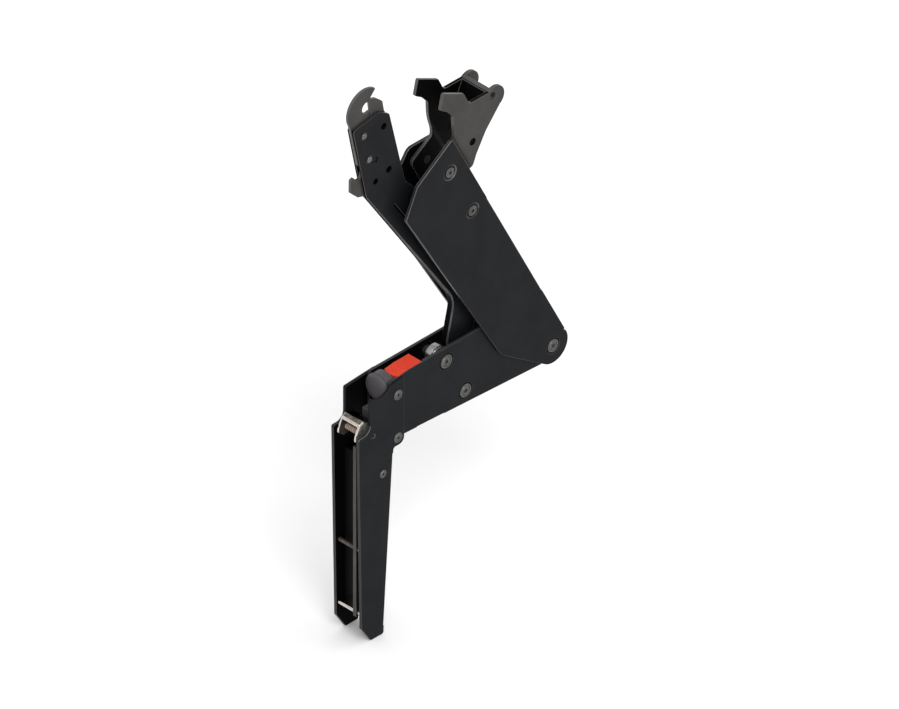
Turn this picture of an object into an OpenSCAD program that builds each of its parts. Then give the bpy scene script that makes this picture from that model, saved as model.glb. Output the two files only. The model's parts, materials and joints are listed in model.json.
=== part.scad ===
// Lift-up door mechanism: one side's folding lever set, at rest with the door closed.
// X runs from the door's inner face into the cabinet, Z is up, and the XZ plane through
// the origin is the middle of the mechanism. The main pivot stands at the origin's height.

/* [Front bracket] */
// Distance from the door's inner face to the main pivot
pivot_reach = 168; // [160:1:180]
// Width across the front bracket's two cheeks
bracket_w = 24; // [23:0.5:28]
// Sheet thickness of the front bracket
bracket_t = 2.2; // [1.8:0.1:2.6]
// Depth of the bracket's lower end below the main pivot
bracket_drop = 142.2; // [136:0.5:150]
// Height of the bracket's top edge at its back
bracket_rise = 40.8; // [39:0.1:42]
// Depth of the bracket from the door to its back, at the top
bracket_deep = 30.2; // [29:0.2:31]
// Depth of the bracket from the door to its back, at the lower end
bracket_low_deep = 21.5; // [20:0.5:23]
// Depth of the tab that overlaps the arm, from the door
bracket_tab = 39.5; // [38.5:0.5:41]
// Depth of the notch in front of the catch
notch_deep = 10.2; // [9:0.2:11]
// Height of the shoulder under that notch
notch_z = 12.8; // [12:0.2:14]
// Rounding of the notch's inner corner
notch_r = 6; // [3:0.5:8]
// Distance of the joining rivets from the door
joint_x = 34; // [33.4:0.2:34.6]
// Height of the lower joining rivet
joint_z = -2; // [-2.4:0.2:-1.6]
// Distance between the two joining rivets
joint_pitch = 32; // [31:0.5:33]
// Radius of the joining rivets' heads
joint_head_r = 3.5; // [3:0.1:4]
// Distance of the liner rivets from the door
liner_rivet_x = 21; // [20:0.2:22]
// Height of the liner rivets
liner_rivet_z = -22.7; // [-24:0.1:-21]
// Radius of the liner rivets' heads
liner_head_r = 2.75; // [2.4:0.05:3]

/* [Lower arm] */
// Sheet thickness of the arm
arm_t = 2.0; // [1.6:0.1:2.4]
// Height of the arm's top edge above the main pivot
arm_top = 42.3; // [41.5:0.1:43]
// Depth of the arm's bottom edge below the main pivot, at the bracket
arm_low = 4; // [3.6:0.1:4.6]
// Radius of the arm's round end at the main pivot
arm_end_r = 13.2; // [12.9:0.1:13.6]

/* [Pivots] */
// Radius of the two main pivot rivets
main_pin_r = 4.5; // [4:0.1:5]
// Radius of the bushes around them
main_bush_r = 5.5; // [5.3:0.1:6.2]
// Distance of the link's pivot from the door
link_pivot_x = 94.5; // [93.5:0.1:95.5]
// Height of the link's pivot
link_pivot_z = 2; // [1.5:0.1:2.5]
// Radius of the link's pivot pin
link_pin_r = 4; // [3.8:0.1:4.2]
// Distance of the stop pin from the door
stop_x = 78; // [77.2:0.1:78.4]
// Height of the stop pin
stop_z = 32; // [31:0.1:33]
// Radius of the stop pin
stop_pin_r = 3.5; // [3:0.1:4]
// Radius of the stop sleeve
stop_r = 7.4; // [6.8:0.1:7.6]
// Radius of the pins' flat heads
pin_head_r = 4.8; // [4.5:0.1:5]
// Radius of the collars around those heads
collar_r = 5.8; // [5.6:0.1:6.2]
// How far the heads stand out of the sheet
head_proud = 0.4; // [0.2:0.05:0.6]

/* [Main lever] */
// Angle of the main lever from the X axis, in degrees
main_angle = 117.1; // [116.5:0.1:117.6]
// Sheet thickness of the main lever
lever_t = 2.2; // [1.8:0.1:2.5]
// Half width of the main lever's round end, which is also its back edge's distance from the axis
main_end_r = 12.7; // [12.4:0.1:13]
// Length of the main lever from its pivot to its back top corner
main_len = 216; // [210:0.5:219]
// Reach of the main lever's front edge from its axis, at the top
main_front_top = 42; // [40:0.5:43]
// Reach of the main lever's front edge from its axis, at the bottom
main_front_low = 33; // [31:0.5:34]
// Radius of the front lower corner
main_corner_r = 24; // [16:1:28]
// Distance from the pivot to the start of the lever's back web
web_from = 46; // [40:1:60]
// Distance from the pivot to the end of the back web
web_to = 150; // [120:1:153]
// Distance of the lower hook rivet from the lever's back top corner
hook_rivet_down = 63.3; // [62:0.1:64]
// Distance between the hook rivets
hook_rivet_pitch = 42.8; // [42:0.1:43.5]
// Radius of the hook rivets' heads
hook_rivet_r = 3.5; // [3.2:0.1:3.8]
// Radius of the dimple around each hook rivet
hook_dimple_r = 5.2; // [4.8:0.1:5.5]

/* [Hook bracket] */
// Sheet thickness of the hook bracket
hook_t = 2.5; // [2:0.1:2.8]
// Radius of the ears
ear_r = 8; // [7.6:0.1:8.4]
// Radius of the bore through both ears
ear_bore_r = 2.7; // [2.4:0.05:2.8]
// Distance of the ears' round end from the lever's axis
ear_out = 51.6; // [51:0.1:52]
// Distance of the ears' round end from the lower hook rivet, along the lever
ear_up = 58.2; // [57.7:0.1:58.7]
// How far the bore lies from the round end's centre, towards the lever's tip
bore_up = 2.6; // [2:0.1:2.7]

/* [Link] */
// Width across the link's two flanges
link_w = 5.4; // [5.3:0.05:5.6]
// Sheet thickness of the link
link_t = 1.6; // [1.5:0.05:1.65]
// Radius of the link's round end
link_end_r = 11.5; // [11:0.1:12]
// Radius of the bush in the link
link_bush_r = 6; // [5.6:0.1:6.6]
// Height of the link's head above its pivot
link_rise = 238.6; // [237:0.2:240]
// Thickness of the hook plate and of the latch
plate_t = 2.0; // [1.9:0.05:2.1]
// Radius of the notch that takes the lift unit's pin
hook_notch_r = 3.9; // [3.6:0.1:4]
// Radius of the rivets in the link's head
head_rivet_r = 1.8; // [1.6:0.05:2]
// Radius of their domed heads
head_dome_r = 2.9; // [2.6:0.1:3.2]

/* [Button and lock] */
// Distance from the door to the release button's front end
button_x = 35.6; // [35.4:0.1:35.9]
// Length of the release button
button_len = 22.6; // [22.2:0.1:22.8]
// Width of the release button
button_w = 12.2; // [11.8:0.1:12.6]
// Height of the button's top face
button_top = 41.4; // [41:0.1:42]
// How far the button presses down
button_travel = 3; // [2.6:0.1:3]
// Diameter of the button spring's wire
spring_wire = 0.8; // [0.6:0.05:0.9]
// Radius of the button spring, to the middle of its wire
spring_r = 2.6; // [2.2:0.1:2.7]
// Number of curls in the button spring
spring_curls = 5; // [3:1:6]
// Thickness of the lock bar
bar_t = 2.8; // [2.4:0.1:3]
// Depth of the lock bar behind the door's face
bar_x = 2.2; // [1.8:0.1:2.6]
// Width of the lock bar, along the depth
bar_w = 5.8; // [5.4:0.1:6]
// Radius of the cross pins
cross_r = 1.4; // [1.2:0.1:1.6]
// Depth of the upper cross pin below the main pivot
cross_high = 73.5; // [72:0.5:75]
// Depth of the lower cross pin below the main pivot
cross_low = 120.7; // [119:0.1:121]
// Radius of the domed end plug
plug_r = 9.4; // [9:0.1:9.5]

/* [Catch] */
// Width across the catch
catch_w = 16; // [15:0.5:18]
// Sheet thickness of the catch
catch_t = 1.4; // [1.2:0.1:1.6]
// Radius of the catch's pivot pin
catch_pin_r = 1.5; // [1.3:0.1:1.7]

/* [Fits] */
// Radial clearance of a turning pin in its bush
pin_fit = 0.05; // [0.03:0.01:0.08]
// Gap between plates that slide past each other
side_gap = 0.3; // [0.2:0.05:0.4]
// Gap between pieces that only come near each other
play = 0.3; // [0.2:0.05:0.4]

/* [Hidden] */
$fn = 64;

// Planes across the width, each as its distance from the middle
bracket_out = bracket_w / 2;
bracket_in = bracket_out - bracket_t;
arm_in = bracket_in - arm_t;
lever_in = bracket_in + side_gap;
lever_out = lever_in + lever_t;
cheek_in = lever_in - hook_t;
link_out = link_w / 2;
link_in = link_out - link_t;
spacer_out = arm_in;
pin_out = bracket_in + head_proud;

// Colours as the photograph shows them
black_steel = [0.17, 0.175, 0.18];
grey_steel = [0.36, 0.355, 0.345];
rivet_steel = [0.42, 0.42, 0.41];
silver = [0.72, 0.72, 0.73];
nickel = [0.78, 0.76, 0.72];
dark_plastic = [0.1, 0.1, 0.1];
grey_plastic = [0.3, 0.29, 0.3];
red_plastic = [0.84, 0.27, 0.19];

// Lengthens a cutter past the faces that it goes through
cut = 0.5;

// Extrudes an XZ outline from y0 to y1
module slab(y0, y1) {
    translate([0, y1, 0]) rotate([90, 0, 0]) linear_extrude(y1 - y0) children();
}

// A cylinder along Y, at x and z, from y0 to y1
module rod(x, z, r, y0, y1) {
    translate([x, y1, z]) rotate([90, 0, 0]) cylinder(r = r, h = y1 - y0);
}

// A copy on each side of the middle plane
module both_sides() {
    children();
    mirror([0, 1, 0]) children();
}

// The main lever's own axes: X to its back edge and Z along the lever
module on_lever() {
    translate([pivot_reach, 0, 0]) rotate([0, 90 - main_angle, 0]) children();
}

function unit(v) = v / norm(v);

// Corner i of an outline of [x, z, radius] points that runs anticlockwise
function at(c, i) = [c[(i + len(c)) % len(c)][0], c[(i + len(c)) % len(c)][1]];
function back_way(c, i) = unit(at(c, i - 1) - at(c, i));
function next_way(c, i) = unit(at(c, i + 1) - at(c, i));
function half_angle(c, i) = acos(back_way(c, i) * next_way(c, i)) / 2;
function turns_left(c, i) = cross(-back_way(c, i), next_way(c, i)) > 0;
function tangent_len(c, i) = c[i][2] / tan(half_angle(c, i));
function arc_centre(c, i) =
    at(c, i) + unit(back_way(c, i) + next_way(c, i)) * c[i][2] / sin(half_angle(c, i));
function cut_corners(c) = [
    for (i = [0 : len(c) - 1])
        for (way = c[i][2] > 0 ? [back_way(c, i), next_way(c, i)] : [[0, 0]])
            at(c, i) + way * (c[i][2] > 0 ? tangent_len(c, i) : 0)
];

// The part of a corner's circle that its two edges touch
module corner(c, i) {
    p = at(c, i);
    d = tangent_len(c, i);
    intersection() {
        translate(arc_centre(c, i)) circle(c[i][2]);
        polygon([p, p + next_way(c, i) * d, arc_centre(c, i), p + back_way(c, i) * d]);
    }
}

// An outline whose corners are rounded to their own radii
module rounded(c) {
    difference() {
        union() {
            polygon(cut_corners(c));
            for (i = [0 : len(c) - 1])
                if (c[i][2] > 0 && turns_left(c, i)) corner(c, i);
        }
        for (i = [0 : len(c) - 1])
            if (c[i][2] > 0 && !turns_left(c, i)) corner(c, i);
    }
}

// Values that several pieces share
joint_shank_r = joint_head_r - 1;
liner_shank_r = liner_head_r - 0.8;
hook_rivet_low = main_len - hook_rivet_down;
bar_arm = 4;
cap_h = 4;
catch_pin_x = 12.6;
catch_pin_z = 9.6;

// Front bracket: two cheeks and a back web, folded from one sheet
bracket_foot_z = joint_z - 5.7;
web_top_z = -12;
bracket_front_low = 2.6;
near_tab = [[bracket_tab, bracket_rise, 1.2]];
far_tab = [[bracket_tab, bracket_rise - 6, 2], [bracket_tab - 2.8, bracket_rise - 2.4, 1.5]];
plug_dip = [18.9, 45.8];
plug_dip_r = 11;
module bracket_outline(tab) {
    rounded(concat([
        [0, notch_z, 1.2],
        [bracket_front_low, 12 - bracket_drop, 1.5],
        [notch_deep + 0.3, -bracket_drop, 1.5],
        [bracket_low_deep, -bracket_drop, 1.2],
        [bracket_deep, bracket_foot_z, 2],
        [bracket_tab, bracket_foot_z, 4.5]
    ], tab, [
        [notch_deep, bracket_rise - 3.9, 1.2],
        [notch_deep, notch_z, notch_r]
    ]));
}
module back_strip() {
    difference() {
        bracket_outline(near_tab);
        translate([-bracket_t, 0]) polygon([
            [bracket_low_deep, -bracket_drop - 1],
            [bracket_deep, bracket_foot_z],
            [bracket_deep, 60],
            [-20, 60],
            [-20, -bracket_drop - 1]
        ]);
        translate([0, web_top_z]) square([80, 80]);
        translate([0, -bracket_drop]) square([80, 6]);
    }
}
module front_bracket() {
    color(black_steel) difference() {
        union() {
            slab(-bracket_out, -bracket_in) bracket_outline(near_tab);
            slab(bracket_in, bracket_out) bracket_outline(far_tab);
            slab(-bracket_in, bracket_in) back_strip();
        }
        slab(-bracket_out - cut, -bracket_in + cut) translate(plug_dip) circle(plug_dip_r);
        for (z = [joint_z, joint_z + joint_pitch])
            rod(joint_x, z, joint_shank_r, -bracket_out - cut, bracket_out + cut);
        rod(liner_rivet_x, liner_rivet_z, liner_shank_r, -bracket_out - cut, bracket_out + cut);
        both_sides() rod(catch_pin_x, catch_pin_z, catch_pin_r, bracket_in - cut, bracket_out + cut);
    }
}

// Lower arm: two plates and a short bottom web, folded from one sheet
arm_start = bracket_tab - 10.4;
arm_low_end = arm_low + 7.2;
arm_web_from = 53;
arm_web_to = 76;
far_drop = 2.1;
far_drop_to = 120;
pocket_skin = 0.6;
module arm_outline() {
    rounded([
        [arm_start, -arm_low + 0.8, 1.6],
        [pivot_reach - 8, -arm_low_end, 0],
        [pivot_reach, 0, 0],
        [pivot_reach + 3, arm_end_r - 0.4, 0],
        [114, arm_top, 12],
        [46, arm_top - 0.2, 6],
        [arm_start, arm_top - 2.2, 1.5]
    ]);
    translate([pivot_reach, 0]) circle(arm_end_r);
}
module lower_arm() {
    color(black_steel) difference() {
        union() {
            both_sides() slab(arm_in, bracket_in) arm_outline();
            slab(-arm_in, arm_in) intersection() {
                arm_outline();
                translate([arm_web_from, -arm_low_end]) square([arm_web_to - arm_web_from, 9]);
                translate([0, arm_t - 4.6]) mirror([0, 1]) square([200, 20]);
            }
        }
        slab(arm_in - cut, bracket_in + cut) translate([0, arm_top - far_drop])
            square([far_drop_to, 10]);
        slab(-bracket_in + pocket_skin, -arm_in + cut) translate([button_x - play, housing_top])
            square([button_len + 2 * play, 20]);
        for (z = [joint_z, joint_z + joint_pitch])
            rod(joint_x, z, joint_shank_r, -bracket_in - cut, bracket_in + cut);
        rod(link_pivot_x, link_pivot_z, collar_r, -bracket_in - cut, bracket_in + cut);
        rod(stop_x, stop_z, collar_r, -bracket_in - cut, bracket_in + cut);
        rod(pivot_reach, 0, main_pin_r, -bracket_in - cut, bracket_in + cut);
    }
}

// Rivets that join the arm to the bracket
module joining_rivets() {
    color(rivet_steel) both_sides() for (z = [joint_z, joint_z + joint_pitch]) {
        rod(joint_x, z, joint_shank_r, arm_in, bracket_out);
        rod(joint_x, z, joint_head_r, bracket_out, bracket_out + head_proud);
    }
}

// Rivets that hold the liner in the bracket
module liner_rivets() {
    color(rivet_steel) both_sides() {
        rod(liner_rivet_x, liner_rivet_z, liner_shank_r, bracket_in - 3, bracket_out);
        rod(liner_rivet_x, liner_rivet_z, liner_head_r, bracket_out, bracket_out + head_proud);
    }
}

// Plastic liner behind the cross pins, with a block that the rivets hold
liner_x = bar_x + bar_w + 1.5;
liner_t = 2;
liner_top = -2.6 - bar_arm / 2 - button_travel;
liner_low = -bracket_drop + 16;
liner_block_h = 14;
liner_half_w = bracket_in - 0.2;
module channel_liner() {
    color(dark_plastic) difference() {
        union() {
            translate([liner_x, -liner_half_w, liner_low])
                cube([liner_t, 2 * liner_half_w, liner_top - liner_low]);
            translate([liner_x, -liner_half_w, liner_rivet_z - liner_block_h / 2])
                cube([liner_rivet_x + 3 - liner_x, 2 * liner_half_w, liner_block_h]);
        }
        translate([liner_x + liner_t, -liner_half_w + 4, liner_rivet_z - liner_block_h])
            cube([30, 2 * liner_half_w - 8, 2 * liner_block_h]);
        both_sides()
            rod(liner_rivet_x, liner_rivet_z, liner_shank_r, bracket_in - 3, bracket_out);
    }
}

// Plug that closes the arm's front end: a domed disc, a broad barrel between the plates, and
// a finger under it that reaches towards the catch
plug_z = 32.6;
plug_x = arm_start - play;
plug_cap = 2.6;
plug_back = 6.4;
plug_half_w = arm_in - 0.2;
finger_x = 18.8;
finger_low = 13;
finger_top = 20.7;
finger_half_w = 4;
neck_x = plug_x + 1;
neck_back = plug_x + plug_back - 1;
neck_top = plug_z - 6;
module end_plug() {
    color(grey_plastic) {
        translate([plug_x, 0, plug_z]) rotate([0, -90, 0]) rotate_extrude() polygon([
            [0, 0], [plug_r, 0], [plug_r, plug_cap - 1.4],
            [plug_r - 0.5, plug_cap - 0.6], [plug_r - 1.6, plug_cap], [plug_r - 4, plug_cap + 0.5],
            [0, plug_cap + 0.8]
        ]);
        intersection() {
            translate([plug_x - 1, 0, plug_z]) rotate([0, 90, 0])
                cylinder(r = plug_r - 0.2, h = plug_back + 1);
            translate([plug_x - 2, -plug_half_w, plug_z - 2 * plug_r])
                cube([plug_back + 10, 2 * plug_half_w, 4 * plug_r]);
        }
        slab(-finger_half_w, finger_half_w) rounded([
            [finger_x, finger_low, 0.8],
            [neck_back, finger_low, 1.5],
            [neck_back, neck_top, 0],
            [neck_x, neck_top, 0],
            [neck_x, finger_top, 1],
            [finger_x, finger_top, 0.8]
        ]);
    }
}

// Housing that guides the release button between the arm's plates
housing_x = button_x;
housing_len = button_len + 1.2;
housing_low = 20;
housing_top = button_top - cap_h - button_travel - play;
housing_half_w = arm_in - 0.2;
housing_floor = 1.6;
skirt_x = button_x + 4.4;
skirt_len = button_len - 7.4;
button_near = -bracket_in + 0.8;
skirt_near = button_near + 3;
skirt_w = button_w - 4.5;
skirt_low = button_top - 11;
foot_x = button_x + 7.2;
foot_len = 5;
foot_w = 1.6;
module button_housing() {
    color(dark_plastic) difference() {
        translate([housing_x, -housing_half_w, housing_low])
            cube([housing_len, 2 * housing_half_w, housing_top - housing_low]);
        translate([skirt_x - play, skirt_near - play, housing_low + housing_floor])
            cube([skirt_len + 2 * play, skirt_w + 2 * play, 30]);
        translate([foot_x - play, skirt_near - play, housing_low - cut])
            cube([foot_len + 2 * play, foot_w + 2 * play, 10]);
    }
}

// Release button: a cap with curved steps for the finger, a skirt in the housing and a foot
step_count = 4;
step_len = 1.7;
step_h = 0.2;
nose_r = button_w * 0.9;
module cap_outline(from) {
    translate([from + nose_r, button_near])
        square([button_x + button_len - from - nose_r, button_w]);
    translate([from + nose_r, button_near + button_w / 2]) intersection() {
        circle(nose_r);
        translate([-button_w, -button_w / 2]) square([button_w + 1, button_w]);
    }
}
module release_button() {
    color(red_plastic) {
        for (i = [0 : step_count])
            translate([0, 0, button_top - cap_h])
                linear_extrude(cap_h - step_h * i) cap_outline(button_x + step_len * (step_count - i));
        translate([skirt_x, skirt_near, skirt_low])
            cube([skirt_len, skirt_w, button_top - cap_h - skirt_low + 0.4]);
        translate([foot_x, skirt_near, bar_arm_top + play])
            cube([foot_len, foot_w, skirt_low - bar_arm_top]);
    }
}

// A wire bent along points, as one closed tube of six sides
function ring(p, way, r) = [
    for (k = [0 : 5])
        let (side = unit(cross(way, [0, 0, 1])))
            p + r * (cos(60 * k) * side + sin(60 * k) * cross(way, side))
];
module wire(path, r) {
    n = len(path);
    points = [
        for (i = [0 : n - 1])
            for (q = ring(path[i], unit(path[min(i + 1, n - 1)] - path[max(i - 1, 0)]), r)) q
    ];
    sides = [
        for (i = [0 : n - 2])
            for (k = [0 : 5])
                for (t = [0, 1])
                    let (a = 6 * i + k, b = 6 * i + (k + 1) % 6)
                        t == 0 ? [a, b, b + 6] : [a, b + 6, a + 6]
    ];
    ends = [
        for (k = [1 : 4])
            for (t = [0, 1])
                t == 0 ? [0, k + 1, k] : [6 * n - 6, 6 * n - 6 + k, 6 * n - 5 + k]
    ];
    polyhedron(points, concat(sides, ends));
}

// Spring under the button: a helix with flat first and last turns
spring_x = skirt_x + skirt_len - spring_r - spring_wire - 0.6;
spring_y = skirt_near + skirt_w / 2;
spring_low = housing_low + housing_floor + spring_wire / 2 + 0.05;
spring_high = skirt_low - spring_wire / 2 - 0.05;
spring_steps = 8 * spring_curls;
spring_pitch = (spring_high - spring_low) / spring_curls;
echo(spring_gap = spring_pitch - spring_wire);
function helix(i) = [
    spring_x + spring_r * cos(45 * i),
    spring_y + spring_r * sin(45 * i),
    spring_low + (spring_high - spring_low) * i / spring_steps
];
module button_spring() {
    color(silver) wire(concat(
        [helix(0) - [0, spring_wire, 0]],
        [for (i = [0 : spring_steps]) helix(i)],
        [helix(spring_steps) + [0, spring_wire, 0]]
    ), spring_wire / 2);
}

// Lock bar: a strip down the bracket's near side, and an arm that reaches under the button
bar_near = -arm_in + 0.4;
bar_top_z = 4;
bar_low_z = -cross_low - 2.6;
bar_arm_end = foot_x + foot_len + 0.6;
bar_arm_top = housing_low - 2;
module lock_bar() {
    color(nickel) difference() {
        slab(bar_near, bar_near + bar_t) union() {
            rounded([
                [bar_x, bar_low_z, 1.2],
                [bar_x + bar_w, bar_low_z, 1.2],
                [bar_x + bar_w, -bar_arm / 2, 1],
                [bar_arm_end, -bar_arm / 2, 1],
                [bar_arm_end, bar_arm_top, 1],
                [bar_arm_end - 6, bar_arm_top, 1],
                [bar_arm_end - 6, bar_arm / 2, 1],
                [bar_x + bar_w, bar_arm / 2, 1],
                [bar_x + bar_w, bar_top_z, 1],
                [bar_x, bar_top_z, 1]
            ]);
        }
        for (z = [-cross_high, -cross_low])
            rod(cross_x, z, cross_r, bar_near - cut, bar_near + bar_t + cut);
    }
}

// Cross pins that hold the door's plate
cross_x = bar_x + 2.4;
module cross_pins() {
    color(nickel) for (z = [-cross_high, -cross_low])
        rod(cross_x, z, cross_r, -bracket_in + play, bracket_in - play);
}

// Catch over the channel's mouth, bent from nickel-plated sheet
catch_half_w = catch_w / 2;
module catch_outline() {
    rounded([
        [1.2, 8.6, 1],
        [5, 5.2, 1],
        [catch_pin_x + 1, 5.6, 2],
        [catch_pin_x + 3.4, 12, 3],
        [15.4, 18.6, 2],
        [8.4, 20.6, 2],
        [4.8, 19.4, 1],
        [1.5, 11.6, 1.5]
    ]);
}
module catch_hollow() {
    rounded([
        [-1, 3, 0],
        [30, 3, 0],
        [30, 18.4 - catch_t, 0],
        [14.6, 18.6 - catch_t, 1],
        [8.2, 20.5 - catch_t, 1.5],
        [-1, 17.4 - catch_t, 0]
    ]);
}
module catch() {
    color(nickel) difference() {
        slab(-catch_half_w, catch_half_w) catch_outline();
        slab(-catch_half_w + catch_t, catch_half_w - catch_t) catch_hollow();
        rod(catch_pin_x, catch_pin_z, catch_pin_r + pin_fit, -catch_w, catch_w);
    }
}

// Spring block inside the catch
module catch_core() {
    color([0.28, 0.22, 0.18]) difference() {
        slab(-5.6, 5.6) rounded([
            [4.4, 7, 1],
            [catch_pin_x + 3.2, 7, 1],
            [catch_pin_x + 3.2, 13, 2],
            [8, 17.4, 2],
            [4.4, 15.4, 1.5]
        ]);
        rod(catch_pin_x, catch_pin_z, catch_pin_r + 0.02, -catch_w, catch_w);
    }
}

// Pin that the catch turns on
module catch_pin() {
    color(rivet_steel) rod(catch_pin_x, catch_pin_z, catch_pin_r, -bracket_out, bracket_out);
}

// Pin that the link turns on
module link_pivot_pin() {
    color(rivet_steel) {
        rod(link_pivot_x, link_pivot_z, link_pin_r, -bracket_in, bracket_in);
        both_sides() rod(link_pivot_x, link_pivot_z, pin_head_r, arm_in + 0.8, pin_out);
    }
}

// Pin that carries the stop sleeve
module stop_pin() {
    color(rivet_steel) {
        rod(stop_x, stop_z, stop_pin_r, -bracket_in, bracket_in);
        both_sides() rod(stop_x, stop_z, pin_head_r, arm_in + 0.8, pin_out);
    }
}

// Sleeve that the link rests against, with a groove and a thin flange
sleeve_near = -4;
sleeve_far = 2.6;
module stop_sleeve() {
    color(silver) difference() {
        rod(stop_x, stop_z, stop_r, sleeve_near, sleeve_far);
        difference() {
            rod(stop_x, stop_z, stop_r + 1, sleeve_near + 0.8, sleeve_near + 1.7);
            rod(stop_x, stop_z, stop_r - 1.2, sleeve_near, sleeve_far);
        }
        rod(stop_x, stop_z, stop_pin_r, sleeve_near - cut, sleeve_far + cut);
    }
}

// Collars pressed into the arm's plates around both pins
module pin_collars() {
    color(dark_plastic) both_sides() for (place = [[link_pivot_x, link_pivot_z, link_pin_r],
            [stop_x, stop_z, stop_pin_r]])
        difference() {
            rod(place[0], place[1], collar_r, arm_in, bracket_in + 0.1);
            rod(place[0], place[1], place[2], arm_in - cut, bracket_out);
            rod(place[0], place[1], pin_head_r, arm_in + 0.8, bracket_out);
        }
}

// Spacers that keep the link in the middle of the arm
module link_spacers() {
    color(dark_plastic) both_sides() difference() {
        rod(link_pivot_x, link_pivot_z, link_pin_r + 2.4, link_out + play, spacer_out);
        rod(link_pivot_x, link_pivot_z, link_pin_r, link_out, spacer_out + cut);
    }
}

// Two short rivets that the main lever turns on, one in each arm plate
module main_pivot_rivets() {
    color(rivet_steel) both_sides() {
        rod(pivot_reach, 0, main_pin_r, arm_in, lever_out);
        rod(pivot_reach, 0, main_pin_r + 2, arm_in - 1.4, arm_in);
    }
}

// Bushes pressed into the main lever
module main_bushes() {
    color(dark_plastic) both_sides() difference() {
        rod(pivot_reach, 0, main_bush_r, lever_in, lever_out - 0.5);
        rod(pivot_reach, 0, main_pin_r + pin_fit, lever_in - cut, lever_out + cut);
    }
}

// Main lever: two flanges and a back web, folded from one sheet, in the lever's own axes
end_tangent = 207.6;
relief_at = [main_end_r - 1, 0.6];
relief_size = [4, 2.2];
near_top = [
    [main_end_r, main_len, 1.5],
    [-main_front_top + 18, main_len - 4.8, 3],
    [-main_front_top, main_len - 19, 3]
];
far_top = [
    [main_end_r, main_len - 11.6, 1.5],
    [main_end_r - 18.4, main_len - 2.1, 6],
    [-main_front_top, main_len - 21, 3]
];
module lever_outline(top) {
    rounded(concat([[main_end_r, 0, 0]], top, [
        [-main_front_low, 34.3, main_corner_r],
        [main_end_r * cos(end_tangent), main_end_r * sin(end_tangent), 0]
    ]));
    circle(main_end_r);
}
module main_lever() {
    color(black_steel) on_lever() difference() {
        union() {
            slab(-lever_out, -lever_in) lever_outline(near_top);
            slab(lever_in, lever_out) lever_outline(far_top);
            translate([main_end_r - lever_t, -lever_in, web_from])
                cube([lever_t, 2 * lever_in, web_to - web_from]);
        }
        both_sides() rod(0, 0, main_bush_r, lever_in - cut, lever_out + cut);
        both_sides() slab(lever_in - cut, lever_out + cut) translate(relief_at) square(relief_size);
        both_sides() for (along = [hook_rivet_low, hook_rivet_low + hook_rivet_pitch]) {
            rod(0, along, hook_rivet_r - 0.8, lever_in - cut, lever_out + cut);
            rod(0, along, hook_dimple_r, lever_out - 0.5, lever_out + cut);
        }
    }
}

// Hook bracket: two cheeks that step out beside the lever, joined by a web
joggle_from = main_end_r + 0.4;
joggle_run = 2.4;
joggle_out = lever_out - lever_in;
module cheek_outline() {
    translate([0, hook_rivet_low]) {
        rounded([
            [-10.4, -6.7, 4],
            [main_end_r - lever_t - play, -6.7, 4],
            [main_end_r - lever_t - play, 25.3, 2],
            [21.6, 34.9, 3],
            [34.9, 43.2, 6],
            [ear_out + ear_r * cos(-50), ear_up + ear_r * sin(-50), 0],
            [ear_out, ear_up, 0],
            [ear_out - 2, ear_up + ear_r - 0.2, 0],
            [34.6, 73.9, 2.9],
            [34.9, 84.5, 1.5],
            [23.2, 100.4, 1.2],
            [15.7, 91.4, 1],
            [19.3, 84.9, 1],
            [21, 77.7, 1.5],
            [17.4, 69.9, 3],
            [14, 60.3, 2],
            [11, 55.1, 2],
            [-10.6, 53, 4.2]
        ]);
        translate([ear_out, ear_up]) circle(ear_r);
    }
}
wall_top = [50.6, hook_rivet_low + 67.9];
wall_turn = 216;
wall_len = 24;
module ear_wall() {
    intersection() {
        translate(wall_top) rotate(wall_turn) translate([-4, 0]) square([wall_len + 4, hook_t]);
        cheek_outline();
    }
}
module joggled_side() {
    linear_extrude(2 * main_len) polygon([
        [-60, cheek_in],
        [joggle_from, cheek_in],
        [joggle_from + joggle_run, cheek_in + joggle_out],
        [120, cheek_in + joggle_out],
        [120, cheek_in + joggle_out + hook_t],
        [joggle_from + joggle_run, cheek_in + joggle_out + hook_t],
        [joggle_from, cheek_in + hook_t],
        [-60, cheek_in + hook_t]
    ]);
}
hook_hole = [23.4, hook_rivet_low + 46.2, 2.3];
bore_at = [ear_out - 1.2, hook_rivet_low + ear_up + bore_up];
bore_wall = 0.9;
bore_depth = 1.9;
module hook_bracket() {
    color(grey_steel) on_lever() difference() {
        union() {
            both_sides() intersection() {
                slab(0, bracket_w) cheek_outline();
                joggled_side();
            }
            both_sides() slab(0, cheek_in + joggle_out + hook_t / 2) ear_wall();
            both_sides() rod(bore_at[0], bore_at[1], ear_bore_r + bore_wall,
                cheek_in + joggle_out - bore_depth, cheek_in + joggle_out + hook_t / 2);
        }
        rod(bore_at[0], bore_at[1], ear_bore_r, -bracket_w, bracket_w);
        rod(hook_hole[0], hook_hole[1], hook_hole[2], -bracket_w, bracket_w);
        for (along = [hook_rivet_low, hook_rivet_low + hook_rivet_pitch])
            rod(0, along, hook_rivet_r - 0.8, -bracket_w, bracket_w);
    }
}

// Rivets that hold the hook bracket in the lever
module hook_rivets() {
    color(rivet_steel) on_lever() both_sides()
        for (along = [hook_rivet_low, hook_rivet_low + hook_rivet_pitch]) difference() {
            union() {
                rod(0, along, hook_rivet_r - 0.8, cheek_in, lever_out - 0.5);
                rod(0, along, hook_rivet_r, lever_out - 0.5, lever_out + 0.15);
            }
            rod(0, along, 1.1, lever_out - 0.4, lever_out + cut);
        }
}

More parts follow.
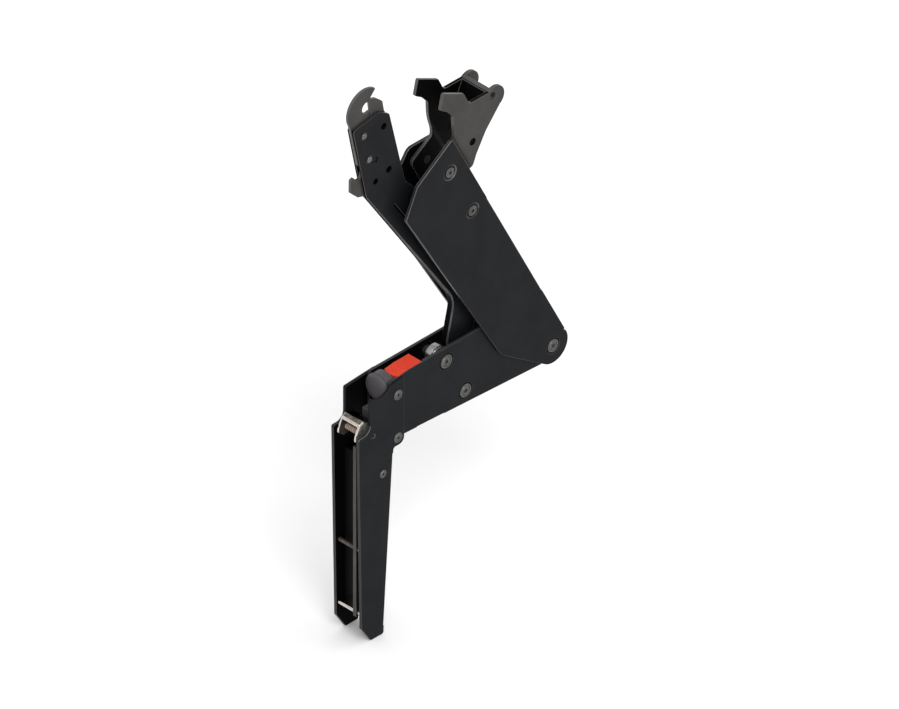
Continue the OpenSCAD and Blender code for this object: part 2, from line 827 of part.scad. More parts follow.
// Plastic insert on the near cheek, where the lift unit's arm slides in
module hook_insert() {
    color(grey_plastic) on_lever() slab(-cheek_in - joggle_out, -cheek_in - joggle_out + 3.4)
        translate([0, hook_rivet_low]) rounded([
            [18.4, 51.3, 1],
            [28, 55.3, 1],
            [28, 68.3, 1],
            [21.4, 70.3, 1],
            [17, 61.3, 1]
        ]);
}

// Link: two flanges and a front web, folded from one sheet
head_top = link_pivot_z + link_rise;
knee = [92, 67.2];
head_foot = [15.6, 183];
head_corner = [4.5, head_top - 3.7];
link_front = stop_x + stop_r + play;
module link_outline() {
    rounded([
        [head_corner[0], head_corner[1], 1.5],
        [head_foot[0], head_foot[1], 14],
        [knee[0], knee[1], 18],
        [link_front, 40, 12],
        [link_front, link_pivot_z + 4, 0],
        [link_pivot_x, link_pivot_z, 0],
        [link_pivot_x + link_end_r, link_pivot_z, 0],
        [110, 55, 16],
        [61, 165, 6],
        [49.4, 178.4, 8],
        [head_corner[0] + 31.4, head_top - 5.4, 2.5],
        [head_corner[0] + 22.8, head_top, 3]
    ]);
    translate([link_pivot_x, link_pivot_z]) circle(link_end_r);
}
module front_strip() {
    intersection() {
        link_outline();
        rounded([
            [20, 168, 0],
            [knee[0] - 3, knee[1] - 4, 0],
            [link_front - 8, 40, 0],
            [link_front - 8, 17, 0],
            [link_front + link_t, 17, 0],
            [link_front + link_t, 39.8, 12],
            [knee[0] + link_t + 0.2, knee[1] + 0.2, 18],
            [23, 170.4, 0]
        ]);
    }
}
slot_from = [39, 165];
slot_way = unit(knee - head_foot);
module lanced_slot() {
    translate(slot_from) rotate(atan2(slot_way[1], slot_way[0])) square([58, 1.3]);
}
module link() {
    color(black_steel) difference() {
        union() {
            both_sides() slab(link_in, link_out) link_outline();
            slab(-link_in, link_in) front_strip();
        }
        slab(-link_out - cut, -link_in + cut) lanced_slot();
        rod(link_pivot_x, link_pivot_z, link_bush_r, -link_w, link_w);
        rod(hook_rivet_at[0], hook_rivet_at[1], head_rivet_r, -link_w, link_w);
        rod(latch_at[0], latch_at[1], head_rivet_r, -link_w, link_w);
        for (hole = head_holes) rod(hole[0], hole[1], hole[2], -link_w, link_w);
        slab(-link_out - cut, -link_out + 0.6) translate(latch_at) rotate(-27)
            translate([0, -1.8]) square([8, 3.6]);
    }
}
head_holes = [[31, 228.1, 2.2], [35.5, 193.6, 2.3], [24, 190.2, 2]];
hook_rivet_at = [13.7, 229.2];
latch_at = [18.3, 209.6];

// Bush in the link's pivot hole
module link_bush() {
    color(dark_plastic) difference() {
        rod(link_pivot_x, link_pivot_z, link_bush_r, -link_out, link_out);
        rod(link_pivot_x, link_pivot_z, link_pin_r + pin_fit, -link_w, link_w);
    }
}

// Hook plate in the link's head, open towards the latch
horn_centre = [16.6, 246.8];
horn_r = 14.9;
notch_centre = [18, 247.6];
module hook_plate_outline() {
    difference() {
        union() {
            intersection() {
                translate(horn_centre) circle(horn_r);
                polygon([
                    [-10, 236],
                    [20.2, 236],
                    [20.2, 246],
                    [19.1, 251.4],
                    [25.3, 258],
                    [24.4, 262],
                    [18, 270],
                    [-10, 270]
                ]);
            }
            rounded([
                [10.4, 207.6, 0.8],
                [12.8, 207.6, 0.8],
                [14.8, 219, 4],
                [20, 227, 3],
                [20.2, 246, 1],
                [8, 249, 0],
                [1.9, 246, 0],
                [4, 237, 6]
            ]);
        }
        translate(notch_centre) circle(hook_notch_r);
        translate(notch_centre + [0, -1.2]) square([12, 5]);
        rod_hole(hook_rivet_at);
    }
}
module rod_hole(place) {
    translate(place) circle(head_rivet_r);
}
module hook_plate() {
    color(grey_steel) slab(-plate_t / 2, plate_t / 2) hook_plate_outline();
}

// Rivets through the link's head
module domed_rivet(place, near, far) {
    rod(place[0], place[1], head_rivet_r, near, far);
    translate([place[0], near, place[1]]) rotate([90, 0, 0]) rotate_extrude() polygon([
        [0, 0], [head_dome_r, 0], [head_dome_r, 0.3], [head_dome_r - 0.7, 0.8],
        [head_dome_r - 1.7, 1.1], [0, 1.2]
    ]);
    rod(place[0], place[1], head_dome_r - 0.4, far, far + 0.6);
}
module head_rivets() {
    color(rivet_steel) domed_rivet(hook_rivet_at, -link_out, link_out);
}

// Latch that closes the hook's mouth, with its thumb tab
latch_eye_r = 4.6;
module hook_latch() {
    color(grey_steel) difference() {
        slab(-plate_t / 2, plate_t / 2) union() {
            rounded([
                [3.9, 190.4, 1.5],
                [10.4, 184, 1.5],
                [17.5, 182, 2],
                [23.4, 200, 6],
                [24.6, 212, 6],
                [33.5, 236, 2],
                [31.6, 246, 1.2],
                [25.8, 251, 1.2],
                [21, 252.6, 0.8],
                [19.9, 250.4, 0.8],
                [20.8, 243.6, 0.6],
                [20.8, 226, 3],
                [17.2, 214, 1],
                [13.6, 206, 1],
                [12.6, 197.4, 1.5],
                [9, 197.4, 1],
                [6.6, 200.6, 0.8],
                [4, 199.6, 1.1]
            ]);
            translate(latch_at) circle(latch_eye_r);
        }
        rod(latch_at[0], latch_at[1], head_rivet_r + pin_fit, -link_w, link_w);
    }
}
module latch_rivet() {
    color(rivet_steel) domed_rivet(latch_at, -link_out, link_out);
}

front_bracket();
lower_arm();
joining_rivets();
liner_rivets();
channel_liner();
end_plug();
button_housing();
release_button();
button_spring();
lock_bar();
cross_pins();
catch();
catch_core();
catch_pin();
link_pivot_pin();
stop_pin();
stop_sleeve();
pin_collars();
link_spacers();
main_pivot_rivets();
main_bushes();
main_lever();
hook_bracket();
hook_rivets();
hook_insert();
link();
link_bush();
hook_plate();
head_rivets();
hook_latch();
latch_rivet();
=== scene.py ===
"""Dressed model of the lift-up door mechanism: sheet pieces with folded and eased edges, turned
rivets and pins, moulded plastics and plated fittings, in the frame of the CAD model. Lengths are
in millimetres, and MM turns them into the frame's metres."""

import json
import math

import bmesh
import bpy
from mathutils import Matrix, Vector


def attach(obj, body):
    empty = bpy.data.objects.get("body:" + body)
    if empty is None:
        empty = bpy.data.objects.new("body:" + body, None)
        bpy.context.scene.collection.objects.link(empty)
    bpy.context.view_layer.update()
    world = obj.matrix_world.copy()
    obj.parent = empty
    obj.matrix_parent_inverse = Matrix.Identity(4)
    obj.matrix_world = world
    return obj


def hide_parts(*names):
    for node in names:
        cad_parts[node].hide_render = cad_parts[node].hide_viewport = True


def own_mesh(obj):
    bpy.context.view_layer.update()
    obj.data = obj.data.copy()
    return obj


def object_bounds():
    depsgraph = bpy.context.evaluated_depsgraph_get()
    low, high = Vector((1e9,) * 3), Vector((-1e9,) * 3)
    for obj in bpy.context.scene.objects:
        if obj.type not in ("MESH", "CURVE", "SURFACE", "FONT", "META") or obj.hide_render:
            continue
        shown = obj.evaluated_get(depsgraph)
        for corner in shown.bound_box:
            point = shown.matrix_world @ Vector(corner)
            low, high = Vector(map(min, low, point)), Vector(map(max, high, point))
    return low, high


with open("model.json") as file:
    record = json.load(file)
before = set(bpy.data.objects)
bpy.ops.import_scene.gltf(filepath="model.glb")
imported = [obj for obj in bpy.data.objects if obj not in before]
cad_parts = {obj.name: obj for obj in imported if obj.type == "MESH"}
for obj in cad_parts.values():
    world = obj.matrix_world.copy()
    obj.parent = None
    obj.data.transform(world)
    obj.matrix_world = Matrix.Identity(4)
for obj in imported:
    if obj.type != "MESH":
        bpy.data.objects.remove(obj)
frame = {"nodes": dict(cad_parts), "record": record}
cad_low, cad_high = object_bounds()

MM = 0.001


# What the record and the CAD model say

BODY_OF = {
    node: body
    for body, members in frame["record"]["behaviour"]["bodies"].items()
    for node in members
}
JOINT = {joint["name"]: joint for joint in frame["record"]["behaviour"]["joints"]}


def hinge_point(name):
    return Vector(JOINT[name]["pos_m"]) / MM


def half_width(node):
    """How far a CAD node reaches from the middle plane."""
    return max(abs(vert.co.y) for vert in frame["nodes"][node].data.vertices) / MM


# Thickness of each folded sheet, and its outer and inner distance from the middle plane

BRACKET_SHEET = 2.2
ARM_SHEET = 2.0
LEVER_SHEET = 2.2
LINK_SHEET = 1.6
CATCH_SHEET = 1.4
BRACKET_OUT = half_width("front_bracket")
BRACKET_IN = BRACKET_OUT - BRACKET_SHEET
ARM_OUT = half_width("lower_arm")
ARM_IN = ARM_OUT - ARM_SHEET
LEVER_OUT = half_width("main_lever")
LEVER_IN = LEVER_OUT - LEVER_SHEET
LINK_OUT = half_width("link")
LINK_IN = LINK_OUT - LINK_SHEET
CATCH_OUT = half_width("catch")
CATCH_IN = CATCH_OUT - CATCH_SHEET

# Where the axes of the turned pieces cross the middle plane

MAIN_PIVOT = hinge_point("main_lever_swing")
LINK_PIVOT = hinge_point("link_swing")
LATCH_PIVOT = hinge_point("hook_latch_turn")
CATCH_PIVOT = hinge_point("catch_turn")
STOP_AXIS = Vector((78, 0, 32))
JOINING_AXES = (Vector((34, 0, -2)), Vector((34, 0, 30)))
LINER_AXIS = Vector((21, 0, -22.7))
HEAD_AXIS = Vector((13.7, 0, 229.2))
BORE_AXIS = Vector((98.22, 0, 187.72))
UPPER_CROSS_AXIS = Vector((4.6, 0, -73.5))
LOWER_CROSS_AXIS = Vector((4.6, 0, -120.7))
CATCH_SPRING_AXIS = Vector((6.9, 0, 12.6))

# Directions: along the main lever from its pivot to the hooks, across it, and the frame's own

LEVER_TILT = math.radians(27.1)
ALONG = Vector((-math.sin(LEVER_TILT), 0, math.cos(LEVER_TILT)))
ACROSS = Vector((math.cos(LEVER_TILT), 0, math.sin(LEVER_TILT)))
INWARDS = Vector((1, 0, 0))
SIDEWAYS = Vector((0, 1, 0))
UPWARDS = Vector((0, 0, 1))


# Wear and painted highlight on an edge start where the eased normal agrees with the true one this
# well, and are full there
RIM_STARTS = 0.985
RIM_FULL = 0.86
BEVEL_SAMPLES = 4
# The patches of that wear and painted highlight, and the strength of the grain
PATCH_SCALE = 260.0
BUMP_STRENGTH = 0.5


def display(r, g, b):
    """The linear colour of a colour given as 0 to 255 display values."""
    return tuple(((c / 255 + 0.055) / 1.055) ** 2.4 for c in (r, g, b)) + (1.0,)


def noise(tree, vector, scale, detail=4.0, roughness=0.6):
    node = tree.nodes.new("ShaderNodeTexNoise")
    node.inputs["Scale"].default_value = scale
    node.inputs["Detail"].default_value = detail
    node.inputs["Roughness"].default_value = roughness
    tree.links.new(vector, node.inputs["Vector"])
    return node.outputs["Fac"]


def remap(tree, value, low, high, to_low, to_high):
    node = tree.nodes.new("ShaderNodeMapRange")
    node.inputs["From Min"].default_value = low
    node.inputs["From Max"].default_value = high
    node.inputs["To Min"].default_value = to_low
    node.inputs["To Max"].default_value = to_high
    tree.links.new(value, node.inputs["Value"])
    return node.outputs["Result"]


def combine(tree, operation, a, b):
    node = tree.nodes.new("ShaderNodeMath")
    node.operation = operation
    tree.links.new(a, node.inputs[0])
    tree.links.new(b, node.inputs[1])
    return node.outputs[0]


def blend_colours(tree, share, a, b):
    """a where share is 0 and b where it is 1; each is a colour or a socket."""
    node = tree.nodes.new("ShaderNodeMix")
    node.data_type = "RGBA"
    tree.links.new(share, node.inputs["Factor"])
    for socket, value in ((node.inputs[6], a), (node.inputs[7], b)):
        if isinstance(value, tuple):
            socket.default_value = value
        else:
            tree.links.new(value, socket)
    return node.outputs[2]


def normal_agreement(tree, edge_radius):
    """How well the eased normal agrees with the true one: 1 away from edges, and less near them."""
    eased = tree.nodes.new("ShaderNodeBevel")
    eased.samples = BEVEL_SAMPLES
    eased.inputs["Radius"].default_value = edge_radius * MM
    own = tree.nodes.new("ShaderNodeNewGeometry")
    facing = tree.nodes.new("ShaderNodeVectorMath")
    facing.operation = "DOT_PRODUCT"
    tree.links.new(eased.outputs["Normal"], facing.inputs[0])
    tree.links.new(own.outputs["Normal"], facing.inputs[1])
    return facing.outputs["Value"]


def surface(
    name,
    colour,
    shade,
    edge,
    roughness,
    spread=0.07,
    metallic=0.0,
    specular=0.5,
    coat=0.0,
    grain=2200.0,
    grain_depth=0.012,
    stretch=(1.0, 1.0, 1.0),
    mottling=55.0,
    edge_radius=0.5,
    wear_and_highlight=0.8,
):
    """A finish mottled between colour and shade, with uneven gloss, a fine grain and lighter edges,
    partly wear and partly a painted highlight.
    The three colours are display values."""
    material = bpy.data.materials.new(name)
    material.use_nodes = True
    tree = material.node_tree
    shader = tree.nodes["Principled BSDF"]
    shader.inputs["Metallic"].default_value = metallic
    shader.inputs["Specular IOR Level"].default_value = specular
    shader.inputs["Coat Weight"].default_value = coat
    shader.inputs["Coat Roughness"].default_value = 0.15
    place = tree.nodes.new("ShaderNodeTexCoord").outputs["Object"]
    stretched = tree.nodes.new("ShaderNodeMapping")
    stretched.inputs["Scale"].default_value = stretch
    tree.links.new(place, stretched.inputs["Vector"])
    fine = noise(tree, stretched.outputs["Vector"], grain)
    broad = noise(tree, place, mottling)

    rim = remap(tree, normal_agreement(tree, edge_radius), RIM_STARTS, RIM_FULL, 0.0, wear_and_highlight)
    patches = noise(tree, place, PATCH_SCALE, detail=3.0, roughness=0.55)
    worn_and_highlit = combine(tree, "MULTIPLY", rim, remap(tree, patches, 0.35, 0.62, 0.45, 1.0))
    mottled = remap(tree, broad, 0.3, 0.7, 0.0, 1.0)
    body = blend_colours(tree, mottled, display(*colour), display(*shade))
    painted = blend_colours(tree, worn_and_highlit, body, display(*edge))
    tree.links.new(painted, shader.inputs["Base Color"])
    gloss = remap(tree, broad, 0.25, 0.75, roughness - spread, roughness + spread)
    tree.links.new(gloss, shader.inputs["Roughness"])
    bump = tree.nodes.new("ShaderNodeBump")
    bump.inputs["Strength"].default_value = BUMP_STRENGTH
    bump.inputs["Distance"].default_value = grain_depth * MM
    tree.links.new(fine, bump.inputs["Height"])
    tree.links.new(bump.outputs["Normal"], shader.inputs["Normal"])
    return material


# Finishes: colour, shade, edge colour (wear and painted highlight) and roughness, then what differs
# from the usual

BLACK = surface(
    "black_coat", (24, 25, 27), (20, 21, 23), (74, 75, 78), 0.42,
    specular=0.06, grain_depth=0.02,
)
# Lighter black for cut edges: a painted highlight
BLACK_CUT_EDGE_HIGHLIGHT = surface(
    "black_coat_cut_edge_painted_highlight", (46, 46, 47), (36, 37, 38), (96, 96, 96), 0.36,
    specular=0.14, coat=0.05, grain_depth=0.02,
)
# Near-black for insides, holes and some front faces: painted shade
BLACK_PAINTED_SHADE = surface(
    "black_painted_shade", (7, 7, 8), (4, 4, 5), (30, 30, 31), 0.55,
    specular=0.03,
)
# Light glossy grey on the link's front fold: a painted highlight
FOLD_PAINTED_HIGHLIGHT = surface(
    "black_coat_fold_painted_highlight", (92, 92, 92), (62, 62, 63), (140, 140, 140), 0.3,
    metallic=0.5, specular=0.4, mottling=120.0, wear_and_highlight=0.3,
)
# Light grey on the bracket's notch and the lever's top edges: a painted highlight
EDGE_PAINTED_HIGHLIGHT = surface(
    "black_coat_bright_edge_painted_highlight", (96, 95, 93), (76, 75, 74), (150, 149, 146), 0.34,
    metallic=0.4, specular=0.3, mottling=90.0, grain_depth=0.01,
)
GREY = surface(
    "grey_phosphate", (58, 56, 53), (50, 48, 46), (104, 102, 98), 0.46,
    metallic=0.2, specular=0.25, grain=1500.0, grain_depth=0.025,
)
# Lighter grey for cut edges: a painted highlight
GREY_CUT_EDGE_HIGHLIGHT = surface(
    "grey_phosphate_cut_edge_painted_highlight", (88, 86, 83), (70, 68, 66), (136, 134, 130), 0.4,
    metallic=0.4, specular=0.4,
)
RIVET = surface(
    "rivet_steel", (92, 92, 89), (60, 60, 58), (150, 149, 145), 0.36,
    metallic=0.6, specular=0.4, grain=900.0, grain_depth=0.03, mottling=420.0,
)
# Lighter steel for the rivet domes: a painted highlight
RIVET_DOME_HIGHLIGHT = surface(
    "rivet_dome_painted_highlight", (112, 111, 107), (84, 83, 80), (170, 169, 165), 0.28,
    metallic=0.8, specular=0.5, grain=900.0, grain_depth=0.02,
)
# Dark metal in rivet grooves, dimples, eyes and rings: painted shade
RECESS_PAINTED_SHADE = surface(
    "recess_painted_shade", (30, 30, 29), (20, 20, 19), (70, 69, 67), 0.4,
    metallic=0.3, specular=0.2,
)
COLLAR = surface(
    "collar_black", (9, 9, 10), (6, 6, 7), (34, 34, 35), 0.42,
    specular=0.05,
)
ZINC = surface(
    "zinc_sleeve", (160, 160, 163), (112, 112, 116), (222, 222, 224), 0.26,
    metallic=0.95, grain=1200.0, stretch=(1.0, 12.0, 1.0), mottling=240.0,
)
# Nickel: its strong mottling stands as a painted reflection, and its bright edges as a painted
# highlight
NICKEL = surface(
    "nickel", (138, 130, 122), (82, 74, 68), (244, 241, 237), 0.2,
    spread=0.06, metallic=1.0, grain_depth=0.006, mottling=330.0, edge_radius=0.55, wear_and_highlight=1.0,
)
# Darker nickel: painted shade inside the catch, on its bar and sleeve, and on the upper cross pin
NICKEL_PAINTED_SHADE = surface(
    "nickel_painted_shade", (96, 82, 72), (50, 42, 37), (170, 158, 148), 0.3,
    metallic=0.4, specular=0.5, mottling=260.0,
)
# Bright plating: the cross pins' own colour, and a painted highlight on the catch's front edges
PLATED_PIN_AND_HIGHLIGHT = surface(
    "plated_pin_and_painted_highlight", (226, 221, 214), (176, 168, 158), (244, 240, 234), 0.16,
    spread=0.05, metallic=1.0, grain_depth=0.004, mottling=130.0,
)
SPRING_BROWN = surface(
    "catch_spring_wire", (176, 160, 144), (120, 104, 90), (226, 218, 208), 0.28,
    metallic=0.3, specular=0.6, mottling=420.0,
)
NICKEL_SIDE = surface(
    "nickel_side", (140, 140, 131), (74, 73, 68), (244, 241, 237), 0.3,
    metallic=0.35, specular=0.6, mottling=300.0,
)
BAR = surface(
    "plated_bar", (74, 73, 71), (58, 57, 55), (150, 148, 144), 0.32,
    metallic=0.85, grain_depth=0.006, mottling=30.0,
)
BLACK_PLASTIC = surface(
    "black_plastic", (12, 12, 13), (8, 8, 9), (36, 36, 37), 0.5,
    specular=0.12, grain=1100.0, grain_depth=0.03,
)
GREY_PLASTIC = surface(
    "grey_plastic", (80, 77, 81), (71, 68, 72), (104, 101, 105), 0.52,
    specular=0.22, grain=1300.0, grain_depth=0.03,
)
RED = surface(
    "red_plastic", (211, 62, 38), (202, 54, 33), (238, 104, 78), 0.45,
    specular=0.1, grain=1600.0, grain_depth=0.02, mottling=90.0,
)
SPRING = surface(
    "spring_wire", (150, 150, 152), (120, 120, 122), (190, 190, 192), 0.3,
    metallic=0.9,
)


# Corners nearer than this are one corner
WELD = 0.001
# Nothing real is as small as this
TINY = 0.0001
# Edges shorter than this are closed up before a bevel
SHORT_EDGE = 0.03
# A corner this near to a plane lies in it
PLANE_NEAR = 0.03
# A face whose corners come this near to both side planes crosses the piece
SPAN_NEAR = 0.06
# How far beyond the inner side of a sheet a face may lie and still be inside
SKIN = 0.02
# How far beyond the inner side of the near cheek its outer roundings lie at least
NEAR_SKIN = 0.05
# Faces that meet at less than this are one flat face
FLAT_ANGLE = 0.4
# Faces that meet at less than this make no bend
FOLD_ANGLE = 30.0
# Edges sharper than this are eased, on flat pieces and on curved ones
SHARP_ANGLE = 32.0
CURVED_SHARP_ANGLE = 40.0
# Edges sharper than this stay visible, on sheets and on wire
SMOOTH_ANGLE = 50.0
WIRE_SMOOTH_ANGLE = 80.0
# A face counts as a flat side of its piece above this area and mean width
BROAD_AREA = 12.0
BROAD_WIDTH = 0.55
# Sideways share of the normal of a side, of a rounding beside it, and of a face across the piece
SIDE_FACING = 0.95
EASED_FACING = 0.2
ACROSS_FACING = 0.1
# Steps of roundings and of turned pieces
FOLD_STEPS = 6
INNER_FOLD_STEPS = 3
STAMPED_STEPS = 2
MOULDED_STEPS = 3
BAR_STEPS = 24
PIN_STEPS = 36
DOME_STEPS = 40
TURNED_STEPS = 56
SLEEVE_STEPS = 72


# Mesh building


def weld(bm, distance=WELD):
    bmesh.ops.remove_doubles(bm, verts=bm.verts, dist=distance * MM)


def clean_copy(node):
    """The node's faces as flat polygons and strips, with nothing split."""
    bm = bmesh.new()
    bm.from_mesh(frame["nodes"][node].data)
    weld(bm)
    bmesh.ops.dissolve_degenerate(bm, edges=bm.edges, dist=TINY * MM)
    bmesh.ops.dissolve_limit(
        bm, angle_limit=math.radians(FLAT_ANGLE), verts=bm.verts, edges=bm.edges
    )
    weld(bm, SHORT_EDGE)
    for face in bm.faces:
        face.material_index = 0
    bm.normal_update()
    return bm


def split_at(bm, point, normal):
    """Adds edges where a plane crosses the piece, without a change of shape. A bevel folds over
    where a face is a ring or a hook, so such faces are split before their edges are eased."""
    bmesh.ops.bisect_plane(
        bm,
        geom=bm.verts[:] + bm.edges[:] + bm.faces[:],
        dist=TINY * MM,
        plane_co=point * MM,
        plane_no=normal,
    )


def middle_of(face):
    return face.calc_center_median() / MM


def off_axis(point, axis):
    """How far a point lies from a line along Y."""
    return math.hypot(point.x - axis.x, point.z - axis.z)


def is_side(face):
    return abs(face.normal.y) > SIDE_FACING


def is_eased(face):
    """Whether a face belongs to a rounding between a side and a cut edge."""
    return EASED_FACING < abs(face.normal.y) < SIDE_FACING


def spans(face, half):
    """Whether a face reaches across the piece, from one side plane to the other."""
    ys = [vert.co.y / MM for vert in face.verts]
    return max(ys) > half - SPAN_NEAR and min(ys) < SPAN_NEAR - half


def at_plane(edge, half):
    return all(abs(abs(vert.co.y) / MM - half) < PLANE_NEAR for vert in edge.verts)


def corner_edges(bm, half, convex):
    """Edges between a side plane and a face that crosses the piece from side to side."""
    found = []
    for edge in bm.edges:
        if not edge.is_manifold or not at_plane(edge, half):
            continue
        if edge.calc_face_angle() < math.radians(FOLD_ANGLE) or edge.is_convex != convex:
            continue
        sides = [face for face in edge.link_faces if is_side(face)]
        across = [
            face
            for face in edge.link_faces
            if abs(face.normal.y) < ACROSS_FACING and spans(face, half)
        ]
        if len(sides) == 1 and len(across) == 1:
            found.append(edge)
    return found


def sharp_edges(bm, degrees=SHARP_ANGLE):
    limit = math.radians(degrees)
    return [edge for edge in bm.edges if edge.is_manifold and edge.calc_face_angle() > limit]


def bevel(bm, edges, width, steps):
    bmesh.ops.bevel(
        bm,
        geom=edges,
        offset=width * MM,
        offset_type="OFFSET",
        segments=steps,
        profile=0.5,
        affect="EDGES",
        clamp_overlap=False,
        material=-1,
    )
    bm.normal_update()


def ease(bm, width, steps=STAMPED_STEPS, degrees=SHARP_ANGLE):
    """Rounds every sharp edge a little, as stamping and coating leave it."""
    bevel(bm, sharp_edges(bm, degrees), width, steps)


def fold(bm, outer, inner, outer_r, inner_r):
    """Rounds a folded sheet's bends, outside and inside."""
    bevel(bm, corner_edges(bm, outer, True), outer_r, FOLD_STEPS)
    bevel(bm, corner_edges(bm, inner, False), inner_r, INNER_FOLD_STEPS)


def paint(bm, materials, finish):
    """Gives each face the material that finish names for it."""
    for face in bm.faces:
        face.material_index = materials.index(finish(face))


def is_broad(face):
    """Whether a face is a flat side of the piece, and not a strip of a rounding."""
    area = face.calc_area() / MM**2
    return area > BROAD_AREA and area / (face.calc_perimeter() / MM) > BROAD_WIDTH


def smooth_groups(vert, limit):
    """The faces around a corner, in groups that no sharp edge divides."""
    left = set(vert.link_faces)
    groups = []
    while left:
        group = [left.pop()]
        for face in group:
            for edge in vert.link_edges:
                if face not in edge.link_faces or len(edge.link_faces) != 2:
                    continue
                if edge.calc_face_angle() > limit:
                    continue
                for other in edge.link_faces:
                    if other in left:
                        left.remove(other)
                        group.append(other)
        groups.append(group)
    return groups


def corner_normals(bm, degrees):
    """A normal for every face corner: broad faces stay flat and roundings turn between them."""
    limit = math.radians(degrees)
    bm.faces.index_update()
    broad = {face: is_broad(face) for face in bm.faces}
    at_corner = {}
    for vert in bm.verts:
        for group in smooth_groups(vert, limit):
            wide = [face for face in group if broad[face]]
            if wide:
                shared = max(wide, key=lambda face: face.calc_area()).normal.copy()
            else:
                shared = Vector()
                for face in group:
                    shared += face.normal * (face.calc_area() / MM**2) ** 2
                shared = shared.normalized() if shared.length > 0 else group[0].normal.copy()
            for face in group:
                at_corner[vert, face] = face.normal.copy() if broad[face] else shared
    return [at_corner[loop.vert, face] for face in bm.faces for loop in face.loops]


def piece(name, bm, materials, node, smooth=SMOOTH_ANGLE):
    """Makes the mesh an object that stands for a CAD node and rides with its body."""
    mesh = bpy.data.meshes.new(name)
    bm.normal_update()
    normals = corner_normals(bm, smooth)
    bm.to_mesh(mesh)
    bm.free()
    for material in materials:
        mesh.materials.append(material)
    obj = bpy.data.objects.new(name, mesh)
    bpy.context.scene.collection.objects.link(obj)
    mesh.shade_smooth()
    mesh.normals_split_custom_set(normals)
    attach(obj, BODY_OF[node])
    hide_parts(node)
    return obj


# Turned solids: a profile is a list of radius and Y, from end to end


def round_section(angle):
    return Vector((math.cos(angle), 0, math.sin(angle)))


def bridge(bm, a, b):
    """Faces between two rings of corners. A ring of one corner is a tip."""
    count = max(len(a), len(b))
    made = []
    for k in range(count):
        j = (k + 1) % count
        if len(a) == 1:
            corners = [a[0], b[j], b[k]]
        elif len(b) == 1:
            corners = [a[k], a[j], b[0]]
        else:
            corners = [a[k], a[j], b[j], b[k]]
        made.append(bm.faces.new(corners))
    return made


def spin(bm, axis, profile, steps=TURNED_STEPS, painted_shade_steps=()):
    """Adds a turned solid about a line along Y. The steps of its profile that its last argument
    names get the second finish, which is painted shade."""
    rings = []
    for radius, y in profile:
        centre = axis + SIDEWAYS * y
        turns = range(steps) if radius > 0 else (0,)
        rings.append([
            bm.verts.new((centre + round_section(math.tau * k / steps) * radius) * MM)
            for k in turns
        ])
    made = []
    for step, (a, b) in enumerate(zip(rings, rings[1:])):
        for face in bridge(bm, a, b):
            face.material_index = 1 if step in painted_shade_steps else 0
            made.append(face)
    bmesh.ops.recalc_face_normals(bm, faces=made)


def spin_both(bm, axis, profile, steps=TURNED_STEPS, painted_shade_steps=()):
    """Adds the same turned solid on both sides of the middle plane."""
    for side in (1, -1):
        spin(bm, axis, [(radius, side * y) for radius, y in profile], steps, painted_shade_steps)


def coil(bm, axis, radius, wire, half, turns, steps=22, sides=10):
    """Adds a coil spring about a line along Y, from -half to half, with closed round ends."""
    count = turns * steps
    rings = []
    for k in range(count + 1):
        outward = round_section(math.tau * k / steps)
        centre = axis + SIDEWAYS * (half * (2 * k / count - 1)) + outward * radius
        ring = []
        for j in range(sides):
            angle = math.tau * j / sides
            offset = outward * math.cos(angle) + SIDEWAYS * math.sin(angle)
            ring.append(bm.verts.new((centre + offset * wire) * MM))
        rings.append(ring)
    made = [bm.faces.new(rings[0]), bm.faces.new(rings[-1])]
    for a, b in zip(rings, rings[1:]):
        made += bridge(bm, a, b)
    bmesh.ops.recalc_face_normals(bm, faces=made)


def bar_profile(radius, low, high, eased):
    """A solid bar with eased ends."""
    return [
        (0, low),
        (radius - eased, low),
        (radius, low + eased),
        (radius, high - eased),
        (radius - eased, high),
        (0, high),
    ]


def ring_profile(bore, radius, low, high, eased):
    """A ring with eased outer edges, closed through its bore."""
    outside = bar_profile(radius, low, high, eased)[1:-1]
    return [(bore, low)] + outside + [(bore, high), (bore, low)]


def even_profile(half):
    """A profile that is the same on both sides of the middle plane, from its positive half."""
    return [(radius, -y) for radius, y in reversed(half)] + half


# The steps of a head's profile that get painted shade: its ring groove and its dimple
HEAD_PAINTED_SHADE_STEPS = (4, 5, 8, 9)


def head_profile(radius, seat, top, chamfer=0.25, groove=0.22, dimple=0.3):
    """A rivet head from its seat outwards: an eased rim, a ring groove and a dimple in the middle,
    ending on the axis."""
    rim = 0.76 * radius
    bed = rim - 0.5
    eye = 0.3 * radius
    slope = 0.12
    face = top - 0.3 * groove
    return [
        (radius, seat),
        (radius, top - chamfer),
        (radius - 0.3 * chamfer, top - 0.3 * chamfer),
        (radius - chamfer, top),
        (rim, top),
        (rim - slope, top - groove),
        (bed + slope, top - groove),
        (bed, face),
        (eye, face),
        (0.7 * eye, top - dimple),
        (0, top - dimple),
    ]


def spin_headed(bm, axis, shank, head):
    """Adds a shank with a head on both sides, with painted shade in the head's groove and dimple."""
    painted_shade_steps = [len(shank) + step for step in HEAD_PAINTED_SHADE_STEPS]
    spin_both(bm, axis, shank + head, painted_shade_steps=painted_shade_steps)


# The sheet pieces


def channel_finish(face, inner):
    """Painted shade inside a folded channel, black coat on its sides and web, and a painted
    highlight on its cut edges.
    """
    if abs(middle_of(face).y) < inner + SKIN:
        return BLACK_PAINTED_SHADE
    return BLACK if is_side(face) or spans(face, inner) else BLACK_CUT_EDGE_HIGHLIGHT


# The bracket's web ends at these heights
BRACKET_WEB_TOP = Vector((0, 0, -12))
BRACKET_WEB_FOOT = Vector((0, 0, -136.2))

